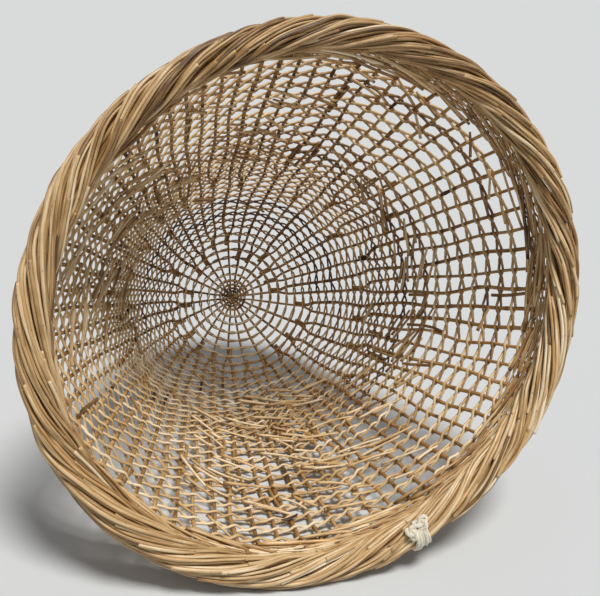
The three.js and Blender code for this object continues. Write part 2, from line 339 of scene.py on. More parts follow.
# Butts of added rods: most are near one ring, and the tone is a mean and a spread
BUTTS = 46
BUTT_RING = 262
BUTT_RING_SPREAD = 22
BUTT_RING_SHARE = 0.6
BUTT_ELSEWHERE = (120, 420)
BUTT_LENGTH = (22, 60)
BUTT_STEP = 4
BUTT_RADIUS = (1.5, 2.2)
BUTT_BESIDE = 0.85
BUTT_SPLAY = (-0.12, 0.12)
BUTT_DEPTH = (0.5, 2.5)
BUTT_TONE = (0.36, 0.12)

# Scrap of bark: its start and the place where the wall's radius is read for it, as distances along
# the wall and azimuths, and the sizes of its curl and of its swelling
SCRAP_START = (424, math.radians(264.5))
SCRAP_READ = (422, math.radians(265))
SCRAP_LENGTH = 20
SCRAP_FALL = 7
SCRAP_CURL = 2.5
SCRAP_CURL_RATE = 3
SCRAP_DEPTH = 5.0
SCRAP_HALF_WIDTH = 1.9
SCRAP_SWELL_START = 0.3
SCRAP_SWELL_RATE = 2.5
SCRAP_LEAST = 0.3
SCRAP_FLATNESS = 0.5
SCRAP_TONE = -0.1

# Noise on a rod: waves in a metre along it, waves round it, and detail. Each rod starts it elsewhere.
GRAIN = (22, 9, 4)
BLOTCHES = (38, 1.3, 3)
SCARS = (210, 2.6, 1)
FIBRES = (260, 7, 5)
NOISE_START_ALONG = 900
NOISE_START_AROUND = 50
BLOTCH_REACH = 0.85
SCAR_RANGE = (0.7, 0.76)
SCAR_STRENGTH = 0.75
SCAR_SHADE = (0.3, 0.2, 0.14)
WARM_SHADE = (1.0, 0.76, 0.45)
WILLOW_BUMP = 0.35
COTTON_BUMP = 0.7
COTTON_ROUGHNESS = 0.95
COTTON_SHEEN = 0.2
BUMP_DISTANCE = 0.0006

# Colours by tone, as they look on screen
WARP_COLOURS = ((0, (56, 36, 20)), (0.3, (134, 97, 50)), (0.65, (182, 143, 87)), (1, (214, 184, 134)))
WEFT_COLOURS = ((0, (66, 42, 24)), (0.3, (154, 114, 68)), (0.62, (214, 182, 132)), (1, (248, 234, 206)))
BORDER_COLOURS = ((0, (74, 50, 28)), (0.28, (148, 112, 66)), (0.6, (206, 174, 126)), (1, (246, 232, 204)))
# The cotton's darker end is painted shade in the hollows between its fibres
COTTON_COLOURS = ((0.25, (200, 189, 164)), (0.7, (250, 245, 230)))

# Camera, fitted to the photograph: focal length in pixels of a 600-pixel width, and the place
# of the mouth's middle in the camera's own axes
FOCAL_PIXELS = 800
IMAGE_WIDTH = 600
SENSOR_WIDTH = 36
CLIP_START = 0.01
MOUTH_ALONG_AXIS = 350
MOUTH_IN_CAMERA = np.array([11.93, -0.95, 800.0])
CAMERA_YAW = math.radians(17.94)
CAMERA_PITCH = math.radians(-0.36)

# Light: a wide sun from above and an even sky, and the shade of floor and backdrop under both
SUN_FROM = np.array([0.08, -0.32, 1.0])
SUN_STRENGTH = 3.0
SUN_ANGLE = math.radians(18)
SUN_COLOUR = np.array([1.0, 0.965, 0.91])
SKY_STRENGTH = 0.26
SKY_COLOUR = np.array([0.94, 0.97, 1.0])
BACKDROP = (217, 219, 219)
PALEST_FLOOR = 0.9
FLOOR_REACH = 60

rng = np.random.default_rng(11)


# Lines and directions

def unit(vectors):
    return vectors / np.linalg.norm(vectors, axis=-1, keepdims=True)


def distance_along(points):
    """Distance to each point along the line through all of them."""
    return np.concatenate([[0], np.cumsum(np.linalg.norm(np.diff(points, axis=0), axis=1))])


def across_path(path, up):
    """Directions sideways of a path and upright from it, square to it and to each other."""
    ahead = unit(np.gradient(path, axis=0))
    sideways = unit(np.cross(ahead, up))
    return sideways, np.cross(sideways, ahead)


def ease(value, low, high):
    """A smooth step from 0 at the low end to 1 at the high end."""
    share = np.clip((np.asarray(value, float) - low) / (high - low), 0, 1)
    return share * share * (3 - 2 * share)


# Wall surface

def centripetal_curve(points, steps):
    """Points on a centripetal Catmull-Rom curve through the outline."""
    padded = np.vstack([2 * points[0] - points[1], points, 2 * points[-1] - points[-2]])
    share = np.linspace(0, 1, steps, endpoint=False)[:, None]
    curve = []
    for index in range(1, len(padded) - 2):
        p0, p1, p2, p3 = padded[index - 1:index + 3]
        d0, d1, d2 = (np.linalg.norm(b - a) ** 0.5 for a, b in ((p0, p1), (p1, p2), (p2, p3)))
        start = ((p1 - p0) / d0 - (p2 - p0) / (d0 + d1) + (p2 - p1) / d1) * d1
        end = ((p2 - p1) / d1 - (p3 - p1) / (d1 + d2) + (p3 - p2) / d2) * d1
        cubic = 2 * p1 - 2 * p2 + start + end
        square = -3 * p1 + 3 * p2 - 2 * start - end
        curve.append(p1 + start * share + square * share ** 2 + cubic * share ** 3)
    curve.append(points[-1:])
    return np.vstack(curve)


MERIDIAN = centripetal_curve(WALL_OUTLINE, OUTLINE_STEPS)
MERIDIAN_ALONG = distance_along(MERIDIAN)
WALL_LENGTH = MERIDIAN_ALONG[-1]
BAND_END = WALL_LENGTH - BORDER_RADIUS
BAND_START = BAND_END - BAND_HEIGHT


def meridian_at(along):
    """Radius and height of the wall's middle at a distance along it."""
    return np.array([np.interp(along, MERIDIAN_ALONG, column) for column in MERIDIAN.T])


def wall_point(along, azimuth, outward=0.0):
    """Point at a distance along the wall from the apex, an azimuth, and a distance out of the wall."""
    along = np.asarray(along, float)
    azimuth = np.asarray(azimuth, float)
    radius, height = meridian_at(along)
    ahead = np.clip(along + SLOPE_REACH, 0, WALL_LENGTH)
    behind = np.clip(along - SLOPE_REACH, 0, WALL_LENGTH)
    slope_r, slope_z = meridian_at(ahead) - meridian_at(behind)
    length = np.hypot(slope_r, slope_z)
    share = np.clip(along / WALL_LENGTH, 0, 1)
    oval = 1 + OVAL_SHARE * share * np.cos(2 * (azimuth - OVAL_TURN))
    r = radius * oval + slope_z / length * outward
    z = height - slope_r / length * outward
    return np.stack([r * np.cos(azimuth), r * np.sin(azimuth), z], -1)


def wall_normal(along, azimuth):
    return unit(wall_point(along, azimuth, 1.0) - wall_point(along, azimuth))


def wall_radius(along, azimuth):
    point = wall_point(along, azimuth)
    return np.hypot(point[..., 0], point[..., 1])


def row_places(rows, first, last, growth, growth_start, growth_end):
    """Distance along the wall of each whole turn, wider apart after the growth rows."""
    widths = 1 + (growth - 1) * ease(np.arange(1, rows + 1), growth_start, growth_end)
    return np.concatenate([[first], first + np.cumsum(widths) * (last - first) / widths.sum()])


TURN_ALONG = row_places(TURNS, FIRST_TURN, LAST_TURN, SPACING_GROWTH, GROWTH_START, GROWTH_END)
CAD_ALONG = row_places(CAD_ROWS, CAD_FIRST_ROW, CAD_LAST_ROW, *CAD_GROWTH)


def along_at_cad_row(row):
    return np.interp(row, np.arange(1, CAD_ROWS + 2), CAD_ALONG)


# Seeded unevenness

def draw(ends):
    """A seeded value from a range."""
    return rng.uniform(*ends)


class Waver:
    """Smooth seeded unevenness: a few sine waves of a length and a height."""

    def __init__(self, length, height):
        self.rates = TURN / (length * rng.uniform(*WAVER_LENGTHS, WAVER_WAVES))
        self.phases = rng.uniform(0, TURN, WAVER_WAVES)
        self.height = height / math.sqrt(WAVER_WAVES / 2)

    def __call__(self, place):
        place = np.asarray(place, float)
        return self.height * np.sin(place[..., None] * self.rates + self.phases).mean(-1) * 2


class Wander:
    """Smooth seeded shift over the whole wall, so that neighbouring rows sway together."""

    def __init__(self, height):
        self.around = rng.integers(*WANDER_AROUND, WANDER_WAVES)
        self.outward = rng.uniform(-WANDER_ALONG, WANDER_ALONG, WANDER_WAVES)
        self.phases = rng.uniform(0, TURN, WANDER_WAVES)
        self.height = height / math.sqrt(WANDER_WAVES / 2)

    def __call__(self, azimuth, along):
        phase = np.asarray(azimuth)[..., None] * self.around + np.asarray(along)[..., None] * self.outward
        return self.height * np.sin(phase + self.phases).sum(-1)


def near(mean, spread, low=0.02, high=0.98):
    """A seeded value about a mean, kept within limits."""
    return float(np.clip(rng.normal(mean, spread), low, high))


def painted_shade(azimuth):
    """Painted shade: 1 on the side of the wall that is in shade, 0 opposite it."""
    return 0.5 + 0.5 * np.cos(azimuth - SHADED_SIDE)


def spliced_tone(means, spread, length):
    """Tone about each crossing's mean that changes at each splice, where a new rod takes over."""
    edges = np.cumsum(rng.uniform(*SPLICE_LENGTHS, SPLICES) * length)
    levels = rng.normal(0, spread, SPLICES + 1)
    whole = np.arange(len(means))
    return lambda index: np.clip(
        levels[np.searchsorted(edges, index)] + np.interp(index, whole, means), *SPLICED_TONES,
    )


# Mesh building

# Placing the basket: laid down about x, then moved so that the start knot is where the frame has it
TILT = np.array(Matrix.Rotation(math.pi / 2 - REST_LEAN, 3, "X"))
knot_low, knot_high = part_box("start_knot")
knot_middle = (np.array(knot_low) + np.array(knot_high)) / 2
OFFSET = knot_middle - TILT @ np.array([0, 0, KNOT_MIDDLE_RISE * MM])


def to_world(points):
    return points * MM @ TILT.T + OFFSET


class Rods:
    """Closed tubes gathered into one mesh, each with a tone, a warmth and lengthwise coordinates."""

    def __init__(self):
        self.points = []
        self.quads = []
        self.caps = []
        self.values = {"tone": [], "warmth": [], "along": [], "around": []}
        self.count = 0

    def add(self, path, up, radius, sides, tone=0.5, squeeze=1.0):
        """A tube along a path. Its radius and tone may change from point to point."""
        n = len(path)
        radius = np.broadcast_to(radius, n)
        tone = np.broadcast_to(tone, n)
        sideways, upright = across_path(path, up)
        angle = TURN * np.arange(sides) / sides
        ring = (
            upright[:, None] * (np.cos(angle) * squeeze)[None, :, None]
            + sideways[:, None] * np.sin(angle)[None, :, None]
        )
        base = self.count + np.arange((n - 1) * sides).reshape(n - 1, sides)
        after = np.roll(base, -1, axis=1)
        last = self.count + (n - 1) * sides
        self.points.append((path[:, None] + ring * radius[:, None, None]).reshape(-1, 3))
        self.quads.append(np.stack([base, base + sides, after + sides, after], -1).reshape(-1, 4))
        self.caps.append(list(range(self.count, self.count + sides)))
        self.caps.append(list(range(last + sides - 1, last - 1, -1)))
        warmth = rng.uniform()
        along = distance_along(path) + rng.uniform(0, NOISE_START_ALONG)
        around = np.tile(angle / TURN, n) + rng.uniform(0, NOISE_START_AROUND)
        self.values["tone"].append(np.repeat(tone, sides))
        self.values["warmth"].append(np.full(n * sides, warmth))
        self.values["along"].append(np.repeat(along, sides) * MM)
        self.values["around"].append(around)
        self.count += n * sides

    def add_on_wall(self, along, azimuth, outward, *shape):
        """A tube along the wall, as far out of it as given."""
        self.add(wall_point(along, azimuth, outward), wall_normal(along, azimuth), *shape)

    def build(self, name, material, nodes, slot):
        """The piece of the scene, which takes the place of the frame's nodes if any are named."""
        faces = np.vstack(self.quads).tolist()
        placed = to_world(np.vstack(self.points))
        placed[:, 2] = np.maximum(placed[:, 2], FLOOR_CONTACT * MM)
        mesh = bpy.data.meshes.new(name)
        mesh.from_pydata(placed.tolist(), [], faces + self.caps)
        smooth = np.zeros(len(mesh.polygons), bool)
        smooth[:len(faces)] = True
        mesh.polygons.foreach_set("use_smooth", smooth)
        for label, values in self.values.items():
            layer = mesh.attributes.new(label, "FLOAT", "POINT")
            layer.data.foreach_set("value", np.concatenate(values).astype(np.float32))
        mesh.materials.append(material)
        mesh.validate()
        mesh.update()
        piece = bpy.data.objects.new(name, mesh)
        bpy.context.scene.collection.objects.link(piece)
        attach(piece, "root")
        if nodes:
            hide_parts(*nodes)


# Materials

def node_tree(name):
    material = bpy.data.materials.new(name)
    material.use_nodes = True
    tree = material.node_tree
    return material, tree, tree.nodes["Principled BSDF"]


def attribute(tree, label):
    node = tree.nodes.new("ShaderNodeAttribute")
    node.attribute_name = label
    return node.outputs["Fac"]


def math_node(tree, operation, first, second):
    node = tree.nodes.new("ShaderNodeMath")
    node.operation = operation
    for socket, value in zip(node.inputs, (first, second)):
        if isinstance(value, (int, float)):
            socket.default_value = value
        else:
            tree.links.new(value, socket)
    return node.outputs[0]


def linear(colour):
    """Linear values of a colour as it looks on screen, 0 to 255."""
    share = np.array(colour) / 255
    return np.where(share > 0.04, ((share + 0.055) / 1.055) ** 2.4, share / 12.92)


def srgb(colour):
    return (*linear(colour), 1)


def noise_along(tree, along, around, lengthwise, girthwise, detail):
    """Noise stretched along a rod."""
    place = tree.nodes.new("ShaderNodeCombineXYZ")
    tree.links.new(math_node(tree, "MULTIPLY", along, lengthwise), place.inputs[0])
    tree.links.new(math_node(tree, "MULTIPLY", around, girthwise), place.inputs[1])
    noise = tree.nodes.new("ShaderNodeTexNoise")
    noise.inputs["Scale"].default_value = 1.0
    noise.inputs["Detail"].default_value = detail
    tree.links.new(place.outputs[0], noise.inputs["Vector"])
    return noise.outputs["Fac"]


def swing(tree, value, reach):
    """A noise value as a shift either way, up to half of the reach."""
    return math_node(tree, "MULTIPLY", math_node(tree, "SUBTRACT", value, 0.5), reach)


def colour_ramp(tree, value, colours):
    """The colour of a value, blended between those given for some values."""
    ramp = tree.nodes.new("ShaderNodeValToRGB")
    elements = ramp.color_ramp.elements
    while len(elements) < len(colours):
        elements.new(0.5)
    for element, (place, colour) in zip(elements, colours):
        element.position = place
        element.color = srgb(colour)
    tree.links.new(value, ramp.inputs["Fac"])
    return ramp.outputs["Color"]


def tint(tree, colour, factor, shade):
    """A colour multiplied by a shade as far as the factor says."""
    mix = tree.nodes.new("ShaderNodeMix")
    mix.data_type = "RGBA"
    mix.blend_type = "MULTIPLY"
    tree.links.new(factor, mix.inputs["Factor"])
    tree.links.new(colour, mix.inputs["A"])
    mix.inputs["B"].default_value = (*shade, 1)
    return mix.outputs["Result"]


def remap(tree, value, low, high, reach):
    """A value as a smooth step from 0 at the low end to the reach at the high end."""
    node = tree.nodes.new("ShaderNodeMapRange")
    node.interpolation_type = "SMOOTHSTEP"
    tree.links.new(value, node.inputs["Value"])
    node.inputs["From Min"].default_value = low
    node.inputs["From Max"].default_value = high
    node.inputs["To Max"].default_value = reach
    return node.outputs["Result"]


def add_bump(tree, shader, height, strength):
    """Fine relief from a noise value."""
    bump = tree.nodes.new("ShaderNodeBump")
    bump.inputs["Strength"].default_value = strength
    bump.inputs["Distance"].default_value = BUMP_DISTANCE
    tree.links.new(height, bump.inputs["Height"])
    tree.links.new(bump.outputs["Normal"], shader.inputs["Normal"])


def willow(name, colours, roughness, warm_from, warm_reach, grain_reach=0.75):
    """Willow rods: a tone for each, grain streaks, blotches, small dark scars and a fibrous bump."""
    material, tree, shader = node_tree(name)
    along = attribute(tree, "along")
    around = attribute(tree, "around")
    grain = noise_along(tree, along, around, *GRAIN)
    blotch = noise_along(tree, along, around, *BLOTCHES)
    scar = noise_along(tree, along, around, *SCARS)
    mixed = math_node(tree, "ADD", attribute(tree, "tone"), swing(tree, grain, grain_reach))
    mixed = math_node(tree, "ADD", mixed, swing(tree, blotch, BLOTCH_REACH))
    warm = remap(tree, attribute(tree, "warmth"), warm_from, 1.0, warm_reach)
    warmed = tint(tree, colour_ramp(tree, mixed, colours), warm, WARM_SHADE)
    scarred = tint(tree, warmed, remap(tree, scar, *SCAR_RANGE, SCAR_STRENGTH), SCAR_SHADE)
    tree.links.new(scarred, shader.inputs["Base Color"])
    add_bump(tree, shader, grain, WILLOW_BUMP)
    shader.inputs["Roughness"].default_value = roughness
    return material


def cotton():
    """Undyed cotton string: off-white, with painted shade in the hollows between its fibres."""
    material, tree, shader = node_tree("cotton_string")
    fibre = noise_along(tree, attribute(tree, "along"), attribute(tree, "around"), *FIBRES)
    tree.links.new(colour_ramp(tree, fibre, COTTON_COLOURS), shader.inputs["Base Color"])
    add_bump(tree, shader, fibre, COTTON_BUMP)
    shader.inputs["Roughness"].default_value = COTTON_ROUGHNESS
    shader.inputs["Sheen Weight"].default_value = COTTON_SHEEN
    return material


WARP_WILLOW = willow("warp_willow", WARP_COLOURS, roughness=0.45, warm_from=0.9, warm_reach=0.5)
WEFT_WILLOW = willow("weft_willow", WEFT_COLOURS, roughness=0.42, warm_from=0.85, warm_reach=0.45)
BORDER_WILLOW = willow(
    "border_willow", BORDER_COLOURS, roughness=0.42, warm_from=0.85, warm_reach=0.5, grain_reach=0.95,
)
COTTON = cotton()


# Warps

FORK_ALONG = [[float(along_at_cad_row(row)) for row in fork] for fork in FORK_ROWS]
SECTOR = TURN / WARP_GROUPS


class Warp:
    """One rod from its start to the rim, with its azimuth and radius at any place along the wall."""

    def __init__(self, group, member):
        self.group = group
        self.member = member
        climb = (group + 0.5) / WARP_GROUPS * FORK_CLIMB
        self.forks = []
        for (begin, end), stray, longer in zip(FORK_ALONG, FORK_STRAY, FORK_LONGER):
            shift = draw(stray)
            self.forks.append((begin + shift + climb, end + shift + climb + longer))
        self.start = 0.0
        self.sway = Waver(*WARP_SWAY_WAVER)
        self.lift = Waver(*WARP_LIFT_WAVER)
        self.thick = draw(WARP_GIRTH)
        # Painted shade: warps are darker on the side of the wall that is in shade
        self.tone = near(WARP_TONE, WARP_TONE_SPREAD) - WARP_PAINTED_SHADE * painted_shade(SECTOR * group)

    def azimuth(self, along):
        """Two rods stand a quarter of the sector from its middle, and three a third of it apart."""
        first, second = (ease(along, *fork) for fork in self.forks)
        place = {
            0: -first / 4 - second / 12,
            1: first / 4 + second / 12,
            2: -(1 - second) / 4,
        }[self.member]
        near_band = ease(along, BAND_START - SWAY_ENDS, BAND_START)
        sway = self.sway(along) * ease(along, *OPEN_WALL) * (1 - near_band)
        return SECTOR * (self.group + 0.5 + place + sway)

    def radius(self, along):
        """An added rod is thicker at its butt."""
        grown = np.interp(
            along,
            [0, WARP_SLIM_LENGTH, WALL_LENGTH],
            [WARP_CROSSING_RADIUS, WARP_START_RADIUS, WARP_RIM_RADIUS],
        )
        swelling = 1.0
        if self.member:
            from_start = np.clip(np.asarray(along, float) - self.start, 0, None)
            swelling = 1 + FORK_SWELLING * np.exp(-from_start / FORK_SWELLING_LENGTH)
        return grown * self.thick * swelling


def grow_warps():
    """Groups of one whole rod and the two that are added at its forks."""
    groups = []
    for group in range(WARP_GROUPS):
        rods = [Warp(group, member) for member in range(RODS_IN_GROUP)]
        for rod, fork, lead in zip(rods[1:], rods[0].forks, FORK_LEAD):
            rod.forks = rods[0].forks
            rod.start = fork[0] - lead
        groups.append(rods)
    return groups


warps = grow_warps()
every_rod = [rod for members in warps for rod in members]


def knot_height(group, along):
    """The first rods cross in layers at the apex and come level as they leave it."""
    half = WARP_GROUPS // 2
    layer = group % half // (half // KNOT_LAYERS) - (KNOT_LAYERS - 1) / 2
    return layer * KNOT_LAYER_HEIGHT * (1 - ease(along, *KNOT_LEVELLING))


def knot_gather(group, along, azimuth):
    """Near the apex the first rods run in pairs."""
    pair_middle = SECTOR * (2 * (group // 2) + 1)
    apart = ease(along, *KNOT_PARTING)
    return pair_middle + (azimuth - pair_middle) * (KNOT_GATHERED + (1 - KNOT_GATHERED) * apart)


def warp_path(rod):
    """Distances along the wall, azimuths and distances out of it."""
    along = np.arange(rod.start, BAND_END + WARP_TUCK + WARP_STEP / 2, WARP_STEP)
    azimuth = rod.azimuth(along)
    outward = rod.lift(along) * ease(along, *LIFT_STARTS)
    if rod.member == 0:
        azimuth = knot_gather(rod.group, along, azimuth)
        outward = outward + knot_height(rod.group, along)
    return along, azimuth, outward


def buds(along):
    """Swellings where a shoot had its buds."""
    swell = np.zeros(len(along))
    place = along[0] + draw(FIRST_BUD)
    while place < along[-1]:
        swell += np.exp(-((along - place) / BUD_LENGTH) ** 2)
        place += draw(BUD_SPACING)
    return swell


def bark_patch(along):
    """A stretch, on some rods, where the dark bark was left on."""
    if rng.uniform() > BARKED_SHARE:
        return np.zeros(len(along))
    middle = draw(BARK_PLACE)
    half = draw(BARK_HALF_LENGTH)
    return 1 - ease(np.abs(along - middle), half, half + BARK_EDGE)


def build_warps():
    for group, members in enumerate(warps):
        rods = Rods()
        for rod in members:
            along, azimuth, outward = warp_path(rod)
            if rod.member:
                beside = (members[0].radius(along) + rod.radius(along)) / wall_radius(along, azimuth)
                azimuth = np.maximum(azimuth, members[0].azimuth(along) + beside * SIDE_BY_SIDE)
            swell = buds(along)
            tone = rod.tone - BUD_DARKER * swell - BARK_DARKER * bark_patch(along)
            radius = rod.radius(along) * (1 + BUD_SWELLING * swell)
            rods.add_on_wall(along, azimuth, outward, radius, WARP_SIDES, tone)
        rods.build(f"warp_rods_{group + 1:02d}", WARP_WILLOW, [f"warp_{group + 1:02d}"], "warp_willow")


# Wefts

def crossings():
    """Where the spiral meets the warps: azimuth counted on, distance along the wall, warp radius."""
    found = []
    for turn in range(-1, TURNS):
        for rod in every_rod:
            share = SECTOR * (rod.group + 0.5) / TURN
            along = np.interp(turn + share, np.arange(-1, TURNS + 1), [LEAD_IN, *TURN_ALONG])
            if along >= rod.start + NEW_ROD_BOUND:
                azimuth = float(rod.azimuth(along))
                found.append((turn * TURN + azimuth, float(along), float(rod.radius(along))))
    found.sort()
    return np.array(found)


def between_crossings(places, steps):
    """Steps between crossings, counted in crossings, with the azimuth, distance and held radius of each."""
    whole = np.arange(len(places))
    index = np.append((whole[:-1, None] + steps).ravel(), whole[-1])
    azimuth, along, held = (np.interp(index, whole, column) for column in places.T)
    return index, azimuth, along, held


def twined(rods, places, radius, tones):
    """Two strands that cross between warps, one inside and one outside of each, tight round it."""
    index, azimuth, along, held = between_crossings(places, STITCH_STEPS)
    apart = np.diff(places[:, 0]) * wall_radius(places[:-1, 1], places[:-1, 0])
    apart = apart[np.minimum(index.astype(int), len(apart) - 1)]
    bend = np.cos(np.minimum(math.pi * STITCH_REACH / np.maximum(apart, 1), WIDEST_BEND))
    tightness = np.clip(math.log(0.5) / np.log(bend), *TIGHTNESS)
    for strand in range(2):
        angle = math.pi * (index + strand)
        side = np.cos(angle)
        hug = np.sign(side) * np.abs(side) ** tightness
        thick = np.interp(index, np.arange(len(places)), radius) * (1 + Waver(*WEFT_THICKNESS_WAVER)(index))
        outward = (held * STITCH_PRESSED + thick) * hug + Waver(*WEFT_OUTWARD_WAVER)(index)
        sidestep = along + thick * WEFT_SPREAD * np.sin(angle) + Waver(*WEFT_SIDEWAYS_WAVER)(index)
        rods.add_on_wall(sidestep, azimuth, outward, thick, WEFT_SIDES, tones(index), WEFT_FLATNESS)


def build_wefts():
    places = crossings()
    open_wall = ease(places[:, 1], *OPEN_WALL)
    wander = Wander(ROW_WANDER)(places[:, 0], places[:, 1])
    places[:, 1] += (wander + rng.normal(0, ROW_JITTER, len(places))) * open_wall
    ends = [along_at_cad_row(row + 1) for row in CAD_COURSE_ENDS[:-1]]
    stops = [int(np.searchsorted(TURN_ALONG, end)) for end in ends]
    turn = np.floor(places[:, 0] / TURN)
    edges = [0] + [int(np.searchsorted(turn, stop)) for stop in stops] + [len(places) - 1]
    for course, (start, stop) in enumerate(zip(edges, edges[1:])):
        rods = Rods()
        near_by = places[start:stop + 1]
        radius = np.interp(near_by[:, 1], [FIRST_TURN, LAST_TURN], [WEFT_START_RADIUS, WEFT_RIM_RADIUS])
        # Painted shade: weft rows are darker on the side of the wall that is in shade
        means = WEFT_TONE - WEFT_PAINTED_SHADE * painted_shade(near_by[:, 0])
        twined(rods, near_by, radius, spliced_tone(means, WEFT_TONE_SPREAD, WEFT_SPLICE))
        rods.build(
            f"weft_turns_{course + 1:02d}", WEFT_WILLOW, [f"weft_course_{course + 1:02d}"], "weft_willow",
        )


def even_places(count, along, held):
    """Crossings of one closed row, evenly round the axis."""
    azimuth = TURN / count * (np.arange(count + 1) + 0.5)
    return np.stack([azimuth, np.full(count + 1, along), np.full(count + 1, held)], 1)


def build_start_knot():
    """Close rows that bind the crossed first rods: pairs first, then every rod."""
    rods = Rods()
    for along, count, held in KNOT_ROWS:
        places = even_places(count, along, held)
        tones = spliced_tone([KNOT_TONE], KNOT_TONE_SPREAD, KNOT_SPLICE)
        twined(rods, places, np.full(len(places), KNOT_STRAND_RADIUS), tones)
    rods.build("start_knot_rows", WEFT_WILLOW, ["start_knot"], "weft_willow")


# Band

def waled(rods, places, radius, tones):
    """Three strands that each pass inside two warps and outside a third."""
    index, azimuth, along, held = between_crossings(places, WALE_STEPS)
    for strand in range(WALE_STRANDS):
        stage = TURN * (index + strand) / WALE_STRANDS
        side = np.tanh(WALE_STEEPNESS * (np.cos(stage) - WALE_MIDDLE))
        outward = (held * WALE_PRESSED + radius) * side + Waver(*WEFT_OUTWARD_WAVER)(index)
        sidestep = along - BAND_SLANT * np.sin(stage) + Waver(*WALE_SIDEWAYS_WAVER)(index)
        thick = radius * (1 + Waver(*WALE_THICKNESS_WAVER)(index))
        rods.add_on_wall(sidestep, azimuth, outward, thick, WALE_SIDES, tones(index))


def build_band():
    """Close waled rows that gather the warps under the border."""
    rods = Rods()
    pitch = BAND_HEIGHT / BAND_ROWS
    for row in range(BAND_ROWS):
        along = BAND_START + (row + 0.5) * pitch
        azimuths = sorted(float(rod.azimuth(along)) % TURN for rod in every_rod)
        azimuths.append(azimuths[0] + TURN)
        places = np.array([(azimuth, along, WARP_RIM_RADIUS) for azimuth in azimuths])
        places[:-1, 1] += Wander(BAND_WANDER)(places[:-1, 0], places[:-1, 1])
        places[-1, 1] = places[0, 1]
        radius = BAND_STRAND_RADIUS * draw(BAND_GIRTH)
        # Painted light and shade: band strands paler at the bottom, where the light falls, darker at the
        # top
        means = BAND_TONE - PAINTED_LIGHT_BELOW * np.sin(places[:, 0])
        waled(rods, places, radius, spliced_tone(means, BAND_TONE_SPREAD, BAND_SPLICE))
    rods.build("rim_band", WEFT_WILLOW, ["band_inner", "band_outer"], "weft_willow")


# Border

def round_border(azimuth, angle, radius):
    """Points at an angle round the border and a distance from its middle, and their directions from it."""
    rim = np.full_like(azimuth, WALL_LENGTH)
    step = 1e-3
    ahead = unit(wall_point(rim, azimuth + step) - wall_point(rim, azimuth - step))
    out = unit(np.cross(ahead, [0, 0, 1]))
    up = np.cross(out, ahead)
    direction = out * np.cos(angle)[:, None] + up * np.sin(angle)[:, None]
    reach = np.broadcast_to(radius, azimuth.shape)[:, None]
    return wall_point(rim, azimuth) + direction * reach, direction


def bundle_rod(rods, azimuth, bundle, own, reach, sway, tone, taper, girth=1):
    """One rod of a bundle: laid round the border with it, and turning back within it."""
    lay = azimuth * BORDER_TURNS + TURN * bundle / BUNDLES + sway[0](azimuth)
    own = own + BACK_TWIST * lay
    centre, direction = round_border(azimuth, lay, BORDER_LAY + sway[1](azimuth))
    side, _ = across_path(centre, direction)
    path = centre + direction * (reach * np.cos(own))[:, None] + side * (reach * np.sin(own))[:, None]
    share = (azimuth - azimuth[0]) / (azimuth[-1] - azimuth[0])
    butt, tip = (end * girth for end in taper)
    radius = ROD_RADIUS * (butt + (tip - butt) * share)
    rods.add(path, direction, radius, BORDER_SIDES, tone)


def border_tone_lit_below(azimuth):
    """Painted light and shade: paler at the bottom of the border as it lies, where the light falls, darker
    at the top, which is in shade.
    """
    return BORDER_TONE - PAINTED_LIGHT_BELOW * math.sin(azimuth)


def lay_bundle(rods, bundle, sway):
    """Slim rods that follow one another round the border, each from its butt to its tip."""
    step = TURN / BORDER_STEPS
    for member in range(RODS_IN_BUNDLE):
        start = draw(FIRST_BUTT)
        place = start
        while place < TURN + start - SPAN_CLOSED:
            length = draw(ROD_SPAN)
            if TURN + start - place - length < LEAST_SPAN:
                length = TURN + start - place
            azimuth = np.arange(place - BUTT_OVERLAP, place + length, step)
            own = TURN * member / RODS_IN_BUNDLE + Waver(*ROD_TURN_WAVER)(azimuth)
            rise = BUTT_RISE * (1 - ease(azimuth - azimuth[0], 0, BUTT_STRETCH))
            sink = TIP_SINK * (1 - ease(azimuth[-1] - azimuth, 0, TIP_STRETCH))
            reach = BUNDLE_RADIUS * (1 + Waver(*ROD_REACH_WAVER)(azimuth)) + (rise - sink)
            girth = draw(ROD_GIRTH)
            tone = near(border_tone_lit_below(place), BORDER_TONE_SPREAD, BORDER_DARKEST)
            bundle_rod(rods, azimuth, bundle, own, reach, sway, tone, ROD_TAPER, girth)
            place += length


def lay_strays(rods, bundle, sway):
    """Short rods that stand out of a bundle at their butts, one at most for each of its turns."""
    step = TURN / BORDER_STEPS
    for stroke in range(BORDER_TURNS):
        if rng.uniform() < STRAY_SHARE:
            lay = stroke * TURN + draw(STRAY_LAY)
            place = (lay - TURN * bundle / BUNDLES) / BORDER_TURNS
            azimuth = np.arange(place, place + draw(STRAY_SPAN), step)
            own = draw(STRAY_TURN) - BACK_TWIST * lay + Waver(*STRAY_TURN_WAVER)(azimuth)
            sunk = STRAY_SINK * ease(azimuth - azimuth[0], *STRAY_SINKING)
            reach = BUNDLE_RADIUS + STRAY_RISE - sunk
            tone = near(border_tone_lit_below(place) + STRAY_PALER, STRAY_TONE_SPREAD)
            bundle_rod(rods, azimuth, bundle, own, reach, sway, tone, STRAY_TAPER)


def build_border():
    """Bundles laid like a rope, two to each of the frame's strands."""
    strands = [Rods() for _ in range(STRANDS)]
    for bundle in range(BUNDLES):
        rods = strands[bundle * STRANDS // BUNDLES]
        sway = (Waver(*BUNDLE_SWAY_WAVER), Waver(*BUNDLE_LIFT_WAVER))
        lay_bundle(rods, bundle, sway)
        lay_strays(rods, bundle, sway)
    for strand, rods in enumerate(strands):
        rods.build(
            f"border_rods_{strand + 1}", BORDER_WILLOW, [f"border_strand_{strand + 1}"], "border_willow",
        )


